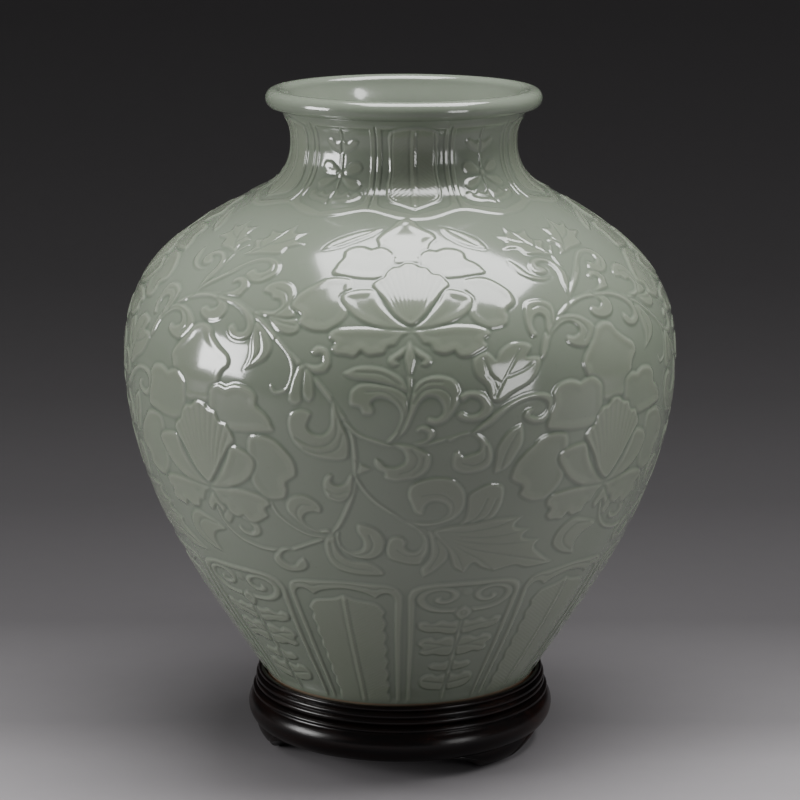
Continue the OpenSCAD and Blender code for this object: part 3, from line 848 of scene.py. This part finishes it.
def carveNeckBand():
    # upright leaves and small flowers round the neck, five times round
    band = newPattern(2 * neckBand["panelPitch"], 352, outlineRun[-1])
    rows, cols = band["relief"].shape
    step = (band["high"] - band["low"]) / rows
    run = (band["low"] + (np.arange(rows) + 0.5) * step)[:, None]
    turn = ((np.arange(cols) + 0.5) * band["turn"] / cols)[None, :]
    pitch = neckBand["panelPitch"]
    half = pitch / 2
    leafMiddle = neckBand["leafMiddle"]
    flowerMiddle = leafMiddle + pitch
    # the band's lower edge is an ogee: highest at each border, lowest below each panel
    fromMiddle = np.abs((turn - leafMiddle + half) % pitch - half)
    edge = neckBand["lowEdge"] + neckBand["edgeRise"] * ease(fromMiddle / half) ** 1.3
    level = carving["height"] * neckBand["level"]
    band["relief"][:] = level * ease((run - edge) / 1.3) * ease((neckBand["top"] - run) / 3)

    # every panel is cut back, with a pointed foot like the band's own edge
    for middle in (leafMiddle, flowerMiddle):
        opening = evenOutline(middle, [366, 366], [(7.5, 370.2), (13.4, 373.6), (15.6, 380), (15.6, 400),
                                                   (15.4, 426), (15.4, 426)])
        plate(band, opening, opening, neckBand["panelLevel"])
    for middle in (leafMiddle, flowerMiddle):
        border = middle + half
        scratch(band, [(border, 373), (border, 400), (border, 427)], 0.55, 0.45)

    side = [(5.5, 375.4), (10.9, 380), (12.5, 388), (11.7, 400), (12.1, 412), (11.1, 424)]
    uprightLeaf(band, evenOutline(leafMiddle, [371, 371], side) + [(leafMiddle, 427.5)], leafMiddle,
                neckBand["veinPitch"], neckBand["veinSlant"], neckBand["veinDepth"])
    line = [(0, 373.6), (5.1, 377.6), (9.5, 381.6), (10.7, 389), (10.1, 400), (10.5, 412), (9.7, 424)]
    for side in (-1, 1):
        scratch(band, mirrored(line, leafMiddle, side), 0.45, 0.22)

    # four-petalled flower on a stalk, over a spreading leaf
    stem(band, [(flowerMiddle, 374), (flowerMiddle, 400), (flowerMiddle, 424)], (1.0, 1.0), 0.55)
    shapes = [
        ([(0.2, 398), (2.6, 401.4), (6, 404.6), (10, 404.4), (11.6, 401), (9.8, 398), (6, 396.6),
          (2.6, 396.8)], 0.85, 0.15, 1.3, []),
        ([(0.2, 396), (2.6, 395.6), (6, 395), (10, 393.6), (12, 390), (10, 386.8), (6, 388), (2.8, 391.4)],
         0.85, 0.15, 1.3, []),
        ([(0.2, 374.5), (4, 376), (8.4, 377), (12.4, 380.4), (13, 384.4), (10.6, 386), (8.2, 383.6),
          (6.4, 386), (3.4, 383.4), (0.2, 386)], 0.7, 0.12, 1.2, [[(1, 379.6), (5, 380.4), (9.6, 382.6)]]),
        ([(0.2, 410), (3.6, 410.4), (7.4, 413), (9.4, 417), (6.4, 418.6), (3, 416.6), (0.2, 417)],
         0.75, 0.1, 1.1, []),
    ]
    leafPairs(band, shapes, flowerMiddle)
    leaf(band, ringPoints((flowerMiddle, 397), 2.3, 330, 8), 0.95, 0.1, 1.0)
    return band


def reliefAt(pattern, turns, runs):
    # heights on a grid of turns and runs, zero outside the strip
    relief = pattern["relief"]
    rows, cols = relief.shape
    x = (turns / pattern["turn"] * cols - 0.5) % cols
    y = (runs - pattern["low"]) / (pattern["high"] - pattern["low"]) * rows - 0.5
    x0 = np.floor(x).astype(int)
    y0 = np.floor(y).astype(int)
    fx = (x - x0)[None, :]
    fy = (y - y0)[:, None]
    inStrip = ((y0 >= 0) & (y0 < rows - 1))[:, None]
    y0 = np.clip(y0, 0, rows - 2)

    def pick(dy, dx):
        return relief[np.ix_(y0 + dy, (x0 + dx) % cols)]

    blend = (pick(0, 0) * (1 - fx) + pick(0, 1) * fx) * (1 - fy)
    blend = blend + (pick(1, 0) * (1 - fx) + pick(1, 1) * fx) * fy
    return blend * inStrip


def makeJar():
    turns = np.linspace(-180, 180, jar["columns"], endpoint=False)
    length = outlineRun[-1]
    runs = np.linspace(0, length, int(length / jar["rowStep"]))
    relief = np.zeros((len(runs), len(turns)))
    for carve in (carveBody, carveLowerBand, carveNeckBand):
        pattern = carve()
        pattern["relief"] = soften(pattern["relief"], 1)
        relief += reliefAt(pattern, turns, runs)
        print(carve.__name__, "done")
    fade = ease((runs - 1) / jar["fadeFoot"]) * ease((length - jar["fadeLip"] - runs) / jar["fadeLip"])
    sunk = (relief - jar["sink"]) * fade[:, None]

    wall = np.column_stack([np.interp(runs, outlineRun, part) for part in outline.T])
    along = np.gradient(wall, axis=0)
    along /= np.hypot(*along.T)[:, None]
    outward = np.column_stack([along[:, 1], -along[:, 0]])
    radius = wall[:, :1] + outward[:, :1] * sunk
    level = wall[:, 1:] + outward[:, 1:] * sunk

    # the plain rest of the section, from the foot: floor and foot ring, then lip, inside and floor
    foot = jar["footRadius"]
    tall = jar["footHeight"]
    inner = foot - jar["footWidth"]
    hollow = jar["floorUnder"]
    floor = jar["floorTop"]
    underFloor = np.array([(18, hollow), (40, hollow), (60, hollow)])
    footRing = np.array([(inner - 6, hollow), (inner - 1.5, 4), (inner, 2.6), (inner, 1),
                         (inner + 0.8, 0.2), (inner + 1.6, 0), (foot - 7, 0), (foot - 1.8, 0),
                         (foot - 0.7, 0.4), (foot - 0.1, 1.4), (foot, 3), (foot, 7), (foot, tall - 0.6),
                         (foot + 0.1, tall)])
    lip = arcPoints(jar["lipCentre"], jar["lipRoll"], -50, 160, 30)
    insideWall = (wall - (0, seatTop) - outward * jar["wall"])[::-1]
    keep = (insideWall[:, 1] > floor + jar["bowlRise"]) & (insideWall[:, 1] < jar["throatTop"])
    insideWall = insideWall[keep][::9]
    rise = (insideWall[0] - insideWall[1]) / np.hypot(*(insideWall[0] - insideWall[1]))
    throat = curvePoints(lip[-1], lip[-1] + (-1.7, -4.7), insideWall[0] + rise * 5, insideWall[0], 14)[1:]
    bowl = np.vstack([curvePoints((89.5, 28), (79.5, 14), (68, floor), (40, floor), 14),
                      [(40, floor), (20, floor)]])
    plainBelow = np.vstack([underFloor, footRing]) + (0, seatTop)
    plainAbove = np.vstack([lip, throat, insideWall, bowl]) + (0, seatTop)
    carved = slice(len(plainBelow), len(plainBelow) + len(runs))

    def spread(section):
        return np.repeat(section[:, None, :], len(turns), 1)

    radius = np.vstack([spread(plainBelow)[..., 0], radius, spread(plainAbove)[..., 0]])
    level = np.vstack([spread(plainBelow)[..., 1], level, spread(plainAbove)[..., 1]])
    angle = np.radians(turns)[None, :]
    lean = jar["neckLean"] * ease((level - jar["leanFrom"]) / jar["leanOver"])
    grid = np.stack([radius * np.sin(angle) + lean, -radius * np.cos(angle), level], -1)
    piece = meshFromRings("carved_jar", grid, (0, 0, seatTop + hollow), (0, 0, seatTop + floor))

    # where the glaze lies thick in the hollows, which also carry painted shade, and where the clay is bare
    full = np.zeros(radius.shape)
    full[carved] = relief * fade[:, None]
    pooledAndShaded = soften(full, jar["poolAndShadeBlur"]) - full
    bare = np.zeros(radius.shape)
    bare[len(underFloor):len(plainBelow) - 1] = 1.0
    bare[carved] = 0.7 * (1 - ease((runs - jar["thinEdge"]) / jar["thinFade"]))[:, None]
    pointValues(piece, "glazePoolAndShade", pooledAndShaded)
    pointValues(piece, "carvedHeight", full)
    pointValues(piece, "bareClay", bare)
    return piece


glaze = {
    "ground": (0.140, 0.160, 0.127),
    "raised": (0.153, 0.171, 0.133),
    # thick glaze in the hollows, darkened further as painted shade
    "pooledAndShaded": (0.075, 0.095, 0.073),
    "thin": (0.23, 0.25, 0.205),
    "roughness": 0.12,
    "ior": 1.5,
    "cloudScale": 9.0,          # broad, faint changes of depth
    "speckScale": 420.0,
    "rippleScale": 130.0,       # fine unevenness of the surface
    "clayScale": 160.0,
    "coat": 0.4,
    "coatRoughness": 0.05,
    "clayDark": (0.19, 0.075, 0.035),
    "clayLight": (0.26, 0.115, 0.055),
    "clayRoughness": 0.75,
}


def makeGlaze():
    finish, tree, shader = newFinish("celadon_glaze")
    height = addNode(tree, "ShaderNodeAttribute", attribute_name="carvedHeight").outputs["Fac"]
    poolAndShade = addNode(tree, "ShaderNodeAttribute", attribute_name="glazePoolAndShade").outputs["Fac"]
    bare = addNode(tree, "ShaderNodeAttribute", attribute_name="bareClay").outputs["Fac"]
    # the glaze lies thicker and greener on the ground than on the raised work
    colour = mixColours(tree, rescale(tree, height, 0.0, 1.0, 0.1, 0.8), glaze["ground"], glaze["raised"])
    # the hollows darken: partly thicker glaze, partly painted shade
    colour = mixColours(tree, rescale(tree, poolAndShade, 0.0, 0.75, 0.06, 0.5), colour, glaze["pooledAndShaded"])
    colour = mixColours(tree, rescale(tree, poolAndShade, 0.7, 0.0, -0.5, -0.1), colour, glaze["thin"])
    cloud = ramp(tree, noise(tree, glaze["cloudScale"], 4.0), [(0.3, (0.94, 0.95, 0.93)), (0.7, (1.0, 1.0, 1.0))])
    colour = mixColours(tree, 1.0, colour, cloud, "MULTIPLY")
    speck = noise(tree, glaze["speckScale"], 2.0)
    speck = ramp(tree, speck, [(0.66, (1, 1, 1)), (0.78, (0.88, 0.88, 0.86))])
    colour = mixColours(tree, 0.6, colour, speck, "MULTIPLY")
    clay = noise(tree, glaze["clayScale"], 5.0)
    clay = ramp(tree, clay, [(0.3, glaze["clayDark"]), (0.7, glaze["clayLight"])])
    colour = mixColours(tree, bare, colour, clay)
    tree.links.new(colour, shader.inputs["Base Color"])
    rough = rescale(tree, noise(tree, 30.0, 3.0), glaze["roughness"] - 0.02, glaze["roughness"] + 0.03)
    mixRough = addNode(tree, "ShaderNodeMix", data_type="FLOAT")
    tree.links.new(bare, mixRough.inputs[0])
    tree.links.new(rough, mixRough.inputs[2])
    mixRough.inputs[3].default_value = glaze["clayRoughness"]
    tree.links.new(mixRough.outputs[0], shader.inputs["Roughness"])
    shader.inputs["IOR"].default_value = glaze["ior"]
    shader.inputs["Coat Weight"].default_value = glaze["coat"]
    shader.inputs["Coat Roughness"].default_value = glaze["coatRoughness"]
    shader.inputs["Subsurface Weight"].default_value = 0.1
    shader.inputs["Subsurface Radius"].default_value = (0.6, 1.0, 0.6)
    shader.inputs["Subsurface Scale"].default_value = 0.003
    addBump(tree, shader, noise(tree, glaze["rippleScale"], 3.0), 0.04, 0.0006)
    return finish


celadon = makeGlaze()
carvedJar = makeJar()
carvedJar.data.materials.append(celadon)
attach(carvedJar, "jar")
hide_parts("vase")
print("jar made")


stand = {
    "footHeight": 13.0,         # all in millimetres
    "frameInner": 70.0,
    "frameEdge": 94.0,
    "bulge": 100.5,             # handle of the wide moulding's curve
    "fillet": 1.6,              # radius of the bead between moulding and collar
    "boardRadius": 86.0,
    "boardThickness": 10.0,
    "collarInner": 89.0,
    # the collar's two beads and its lip: radius and height of the centre, roll, last angle, points
    "beads": ((92.3, 2.2, 2.1, 60, 14), (92.0, 6.2, 2.0, 60, 14), (90.9, 10.3, 1.7, 90, 18)),
    "groove": (89.9, 92.1, 32.9),           # inner and outer radius, and how low it goes
    "tongue": (90.0, 92.0, 33.0),
    "footTurns": (44, 164, -76),            # degrees round from the front: right, back, left
    "footInner": 72.0,
    "footBase": 84.0,
    "footHalf": ((10, 0), (15, 1), (19, 9), (39, 13)),      # curve of a foot's side: across, up
    "tenonPlace": 83.0,
    "tenonRadius": 4.5,
    "tenonTop": 22.0,
    "keyPlace": 82.0,
    "keyHeight": 19.0,
    "keySize": (11.0, 22.0, 4.0),
    "fit": 0.1,                 # room round each tenon and key
    "carvedLine": 2.8,          # distance of the cut line from the edge of a foot
    "carvedWidth": 0.8,
    "carvedDepth": 0.55,
    "segmentHalf": 60,          # degrees
}


def solidPiece(name, verts, faces, sharp=32):
    # a piece from points in millimetres; edges that turn more than sharp degrees stay crisp
    mesh = bpy.data.meshes.new(name)
    mesh.from_pydata([tuple(c * mm for c in v) for v in verts], [], faces)
    mesh.update()
    mesh.polygons.foreach_set("use_smooth", [True] * len(mesh.polygons))
    mesh.set_sharp_from_angle(angle=radians(sharp))
    piece = bpy.data.objects.new(name, mesh)
    bpy.context.scene.collection.objects.link(piece)
    return piece


def turned(name, section, first, last, step):
    # sweeps a closed section of (radius, height) round the axis between two turns from the front
    whole = last - first >= 360
    count = int(round((last - first) / step)) + (0 if whole else 1)
    turns = np.radians(np.linspace(first, last, count, endpoint=not whole))
    size = len(section)
    verts = [(r * sin(t), -r * cos(t), z) for t in turns for r, z in section]
    faces = []
    for j in range(count if whole else count - 1):
        k = (j + 1) % count
        for i in range(size):
            n = (i + 1) % size
            faces.append((j * size + i, k * size + i, k * size + n, j * size + n))
    if not whole:
        faces.append(tuple(range(size)))
        faces.append(tuple((count - 1) * size + i for i in reversed(range(size))))
    return solidPiece(name, verts, faces)


def cutAway(piece, cutters):
    # takes the cutters out of the piece for good
    for cutter in cutters:
        change = piece.modifiers.new("cut", "BOOLEAN")
        change.operation = "DIFFERENCE"
        change.solver = "EXACT"
        change.object = cutter
    bpy.context.view_layer.update()
    seen = piece.evaluated_get(bpy.context.evaluated_depsgraph_get())
    mesh = bpy.data.meshes.new_from_object(seen)
    piece.modifiers.clear()
    piece.data = mesh
    mesh.set_sharp_from_angle(angle=radians(32))
    for cutter in cutters:
        bpy.data.objects.remove(cutter)


def pegVerts(radius, low, high, count=48):
    # points and faces of an upright round peg
    ring = np.radians(np.linspace(0, 360, count, endpoint=False))
    return [(radius * cos(t), radius * sin(t), z) for z in (low, high) for t in ring]


def pegFaces(count=48, start=0):
    faces = [(start + i, start + (i + 1) % count, start + count + (i + 1) % count, start + count + i)
             for i in range(count)]
    faces.append(tuple(start + i for i in reversed(range(count))))
    faces.append(tuple(start + count + i for i in range(count)))
    return faces


def turnTo(points, turn):
    # moves points drawn with +X outwards to a place round the axis
    t = radians(turn)
    return [(x * sin(t) + y * cos(t), -x * cos(t) + y * sin(t), z) for x, y, z in points]


def makeCollar():
    # two beads under a plain lip, with a tongue below that sits in the frame's groove
    low = seatTop
    inner = stand["collarInner"]
    tongueIn, tongueOut, tongueLow = stand["tongue"]
    section = [(inner, low), (tongueIn, low), (tongueIn, tongueLow), (tongueOut, tongueLow),
               (tongueOut, low), (92.6, low)]
    for out, up, roll, last, count in stand["beads"]:
        section += list(arcPoints((out, low + up), roll, -60, last, count))
    section += [(inner + 0.6, standTop), (inner + 0.25, standTop - 0.1), (inner, standTop - 0.6)]
    return turned("turned_collar", section[::-1], 0, 360, 1.0)


def makeFrameSegment(name, middle):
    # a third of the ring: wide moulding, bead, groove and ledge, with its tenon hole and key slots
    low = stand["footHeight"]
    top = seatTop
    edge = stand["frameEdge"]
    ledge = top - stand["boardThickness"]
    board = stand["boardRadius"]
    grooveIn, grooveOut, grooveLow = stand["groove"]
    section = [(stand["frameInner"], low)]
    section += list(curvePoints((edge, low), (stand["bulge"], low + 5), (stand["bulge"], low + 14),
                                (edge + 1, low + 18.5), 40))
    section += list(arcPoints((edge + 0.6, top - 2.6), stand["fillet"], -70, 70, 16))
    section += [(93, top), (grooveOut, top), (grooveOut, grooveLow), (grooveIn, grooveLow), (grooveIn, top),
                (board, top), (board, ledge + 2), (board - 2, ledge), (stand["frameInner"], ledge)]
    half = stand["segmentHalf"]
    piece = turned(name, section[::-1], middle - half, middle + half, 1.0)

    fit = stand["fit"]
    hole = pegVerts(stand["tenonRadius"] + fit, low - 1, stand["tenonTop"] + 0.5)
    hole = turnTo([(x + stand["tenonPlace"], y, z) for x, y, z in hole], middle)
    cutters = [solidPiece("cutter", hole, pegFaces())]
    wide, long, thick = (size / 2 + fit for size in stand["keySize"])
    for side in (-half, half):
        corners = [(stand["keyPlace"] + x * wide, y * long, stand["keyHeight"] + z * thick)
                   for z in (-1, 1) for x, y in ((-1, -1), (1, -1), (1, 1), (-1, 1))]
        cutters.append(solidPiece("cutter", turnTo(corners, middle + side),
                                  [(0, 3, 2, 1), (4, 5, 6, 7), (0, 1, 5, 4), (1, 2, 6, 5), (2, 3, 7, 6),
                                   (3, 0, 4, 7)]))
    cutAway(piece, cutters)
    return piece


def makeFoot(name, turn):
    # a bracket foot under its segment, with a cut line that follows its edge, and its tenon
    tall = stand["footHeight"]
    sideLine = np.vstack([curvePoints(*stand["footHalf"], 60), [stand["footHalf"][-1]]])
    base = stand["footBase"]
    edge = stand["frameEdge"]
    outerLine = np.vstack([curvePoints((base, 0), (base + 5, 0.5), (edge + 0.5, tall - 7), (edge, tall), 60),
                           [(edge, tall)]])
    heights = tall * np.linspace(0, 1, 45) ** 1.15
    across = 97
    verts = []
    for z in heights:
        half = np.interp(z, sideLine[:, 1], sideLine[:, 0])
        outer = np.interp(z, outerLine[:, 1], outerLine[:, 0])
        y = half * np.linspace(-1, 1, across)
        toEdge = np.hypot(sideLine[:, 0][:, None] - np.abs(y), sideLine[:, 1][:, None] - z).min(0)
        cut = np.exp(-((toEdge - stand["carvedLine"]) / stand["carvedWidth"]) ** 2) * ease((z - 1.5) / 2)
        r = outer - stand["carvedDepth"] * cut
        verts += [(np.sqrt(a * a - b * b), b, z) for a, b in zip(r, y)]
        inner = stand["footInner"] + 3 * (1 - min(z / 8, 1))
        verts += [(np.sqrt(inner * inner - b * b), b, z) for b in y[::-1]]
    ring = 2 * across
    rows = len(heights)
    faces = [(j * ring + i, j * ring + (i + 1) % ring, (j + 1) * ring + (i + 1) % ring, (j + 1) * ring + i)
             for j in range(rows - 1) for i in range(ring)]
    faces.append(tuple(reversed(range(ring))))
    faces.append(tuple((rows - 1) * ring + i for i in range(ring)))
    peg = pegVerts(stand["tenonRadius"], tall - 1, stand["tenonTop"])
    faces += pegFaces(start=len(verts))
    verts += [(x + stand["tenonPlace"], y, z) for x, y, z in peg]
    return solidPiece(name, turnTo(verts, turn), faces, 40)


wood = {
    "lacquerIor": 1.32,
    "lacquerRoughness": (0.2, 0.3),
    "plainRoughness": 0.6,
    "dark": (0.0020, 0.0016, 0.0016),
    "brown": (0.0060, 0.0028, 0.0022),
    "worn": (0.030, 0.010, 0.007),          # where the lacquer is rubbed thin
    "plainDark": (0.045, 0.020, 0.012),
    "plainLight": (0.095, 0.045, 0.026),
}


def makeLacquer():
    # near-black lacquer, worn through to red-brown wood in a few places
    finish, tree, shader = newFinish("lacquered_hardwood")
    grain = noise(tree, 40.0, 6.0, (1.0, 1.0, 9.0))
    colour = ramp(tree, grain, [(0.35, wood["dark"]), (0.75, wood["brown"])])
    rubbed = ramp(tree, noise(tree, 14.0, 5.0), [(0.60, (0, 0, 0)), (0.74, (1, 1, 1))])
    pores = ramp(tree, noise(tree, 300.0, 3.0, (1.0, 1.0, 4.0)), [(0.45, (0, 0, 0)), (0.62, (1, 1, 1))])
    colour = mixColours(tree, mixColours(tree, 1.0, rubbed, pores, "MULTIPLY"), colour, wood["worn"])
    tree.links.new(colour, shader.inputs["Base Color"])
    tree.links.new(rescale(tree, grain, *wood["lacquerRoughness"]), shader.inputs["Roughness"])
    shader.inputs["IOR"].default_value = wood["lacquerIor"]
    addBump(tree, shader, noise(tree, 220.0, 4.0, (1.0, 1.0, 6.0)), 0.12, 0.0004)
    return finish


def makePlainWood():
    # for the seat board and the splines, which are not lacquered
    finish, tree, shader = newFinish("plain_hardwood")
    grain = noise(tree, 18.0, 6.0, (1.0, 9.0, 1.0))
    tree.links.new(ramp(tree, grain, [(0.3, wood["plainDark"]), (0.7, wood["plainLight"])]),
                   shader.inputs["Base Color"])
    shader.inputs["Roughness"].default_value = wood["plainRoughness"]
    addBump(tree, shader, noise(tree, 90.0, 4.0, (1.0, 9.0, 1.0)), 0.2, 0.0006)
    return finish


lacquer = makeLacquer()
plainWood = makePlainWood()
standPieces = [(makeCollar(), "collar_ring")]
for side, turn in zip(("right", "back", "left"), stand["footTurns"]):
    standPieces.append((makeFrameSegment("moulded_frame_" + side, turn), "frame_" + side))
    standPieces.append((makeFoot("carved_foot_" + side, turn), "foot_" + side))
for piece, node in standPieces:
    piece.data.materials.clear()
    piece.data.materials.append(lacquer)
    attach(piece, "stand")
    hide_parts(node)
for name in ("seat_board", "spline_front", "spline_right", "spline_left"):
    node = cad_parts[name]
    node.data.materials.clear()
    node.data.materials.append(plainWood)
print("stand made")


studio = {
    "paperTint": (1.0, 0.955, 0.99),
    # painted shade: how light the paper is painted at distances behind the front of the sheet, as parts of the
    # whole; it darkens towards the back in place of the light's falloff
    "paperPaintedFalloff": ((0.0, 0.21), (0.05, 0.176), (0.09, 0.112), (0.135, 0.086), (0.21, 0.050),
                   (0.395, 0.034), (0.66, 0.026), (0.8, 0.018), (1.0, 0.011)),
    "worldColour": (0.30, 0.30, 0.31),
    "worldStrength": 0.28,
    "wallDistance": 1.9,        # metres
    "sweepRadius": 0.9,
}

# place, width and height in metres, watts, and the point each lamp faces
lamps = {
    "overhead_softbox": ((0.31, -0.06, 2.05), (1.2, 1.9), 104, (0.31, -0.06, 0)),
    "left_softbox": ((-1.8, -0.5, 0.55), (0.75, 0.65), 34, (0, 0, 0.25)),
    "right_softbox": ((1.35, -1.4, 0.36), (0.55, 0.65), 8, (0, 0, 0.25)),
    "left_fill": ((-1.9, 0.7, 0.8), (1.2, 1.2), 26, (0, 0, 0.25)),
    "right_fill": ((1.9, 0.5, 0.8), (1.2, 1.2), 30, (0, 0, 0.25)),
}


def makePaper():
    # one sheet of paper: flat under the stand, then swept up behind it, its colour darkened towards the back as
    # painted shade for the light's falloff
    back = studio["wallDistance"]
    bend = studio["sweepRadius"]
    section = [(-3.0, 0.0), (-1.0, 0.0), (0.0, 0.0), (back - bend, 0.0)]
    section += list(arcPoints((back - bend, bend), bend, -85, 0, 18))
    section += [(back, 4.0)]
    verts = [(x, y, z) for x in (-5.0, 5.0) for y, z in section]
    count = len(section)
    faces = [(i, count + i, count + i + 1, i + 1) for i in range(count - 1)]
    mesh = bpy.data.meshes.new("backdrop_paper")
    mesh.from_pydata(verts, [], faces)
    mesh.polygons.foreach_set("use_smooth", [True] * len(faces))
    paper = bpy.data.objects.new("backdrop_paper", mesh)
    bpy.context.scene.collection.objects.link(paper)
    finish, tree, shader = newFinish("paper_painted_falloff")
    coords = addNode(tree, "ShaderNodeTexCoord")
    parts = addNode(tree, "ShaderNodeSeparateXYZ")
    tree.links.new(coords.outputs["Object"], parts.inputs["Vector"])
    # painted shade: the paper's colour steps down from light at the front to near black on the wall
    fade = rescale(tree, parts.outputs["Y"], 0.0, 1.0, -0.15, studio["wallDistance"] - 0.2)
    tint = studio["paperTint"]
    paintedFalloffSteps = [(place, tuple(level * part for part in tint)) for place, level in studio["paperPaintedFalloff"]]
    colour = ramp(tree, fade, paintedFalloffSteps)
    grain = ramp(tree, noise(tree, 60.0, 3.0), [(0.3, (0.98, 0.98, 0.98)), (0.7, (1.0, 1.0, 1.0))])
    tree.links.new(mixColours(tree, 1.0, colour, grain, "MULTIPLY"), shader.inputs["Base Color"])
    shader.inputs["Roughness"].default_value = 0.9
    shader.inputs["Specular IOR Level"].default_value = 0.0
    mesh.materials.append(finish)


def makeLights():
    world = bpy.data.worlds.new("studio")
    world.use_nodes = True
    background = world.node_tree.nodes["Background"]
    background.inputs["Color"].default_value = (*studio["worldColour"], 1)
    background.inputs["Strength"].default_value = studio["worldStrength"]
    bpy.context.scene.world = world

    for name, (place, size, power, target) in lamps.items():
        data = bpy.data.lights.new(name, "AREA")
        data.shape = "RECTANGLE"
        data.size, data.size_y = size
        data.energy = power
        lamp = bpy.data.objects.new(name, data)
        lamp.location = place
        lamp.visible_glossy = "fill" not in name        # the fills give no highlights
        away = np.array(place) - np.array(target)
        flat = np.hypot(away[0], away[1])
        lamp.rotation_euler = (atan2(flat, away[2]), 0, atan2(away[1], away[0]) + pi / 2)
        bpy.context.scene.collection.objects.link(lamp)


makePaper()
makeLights()
print("studio lit")
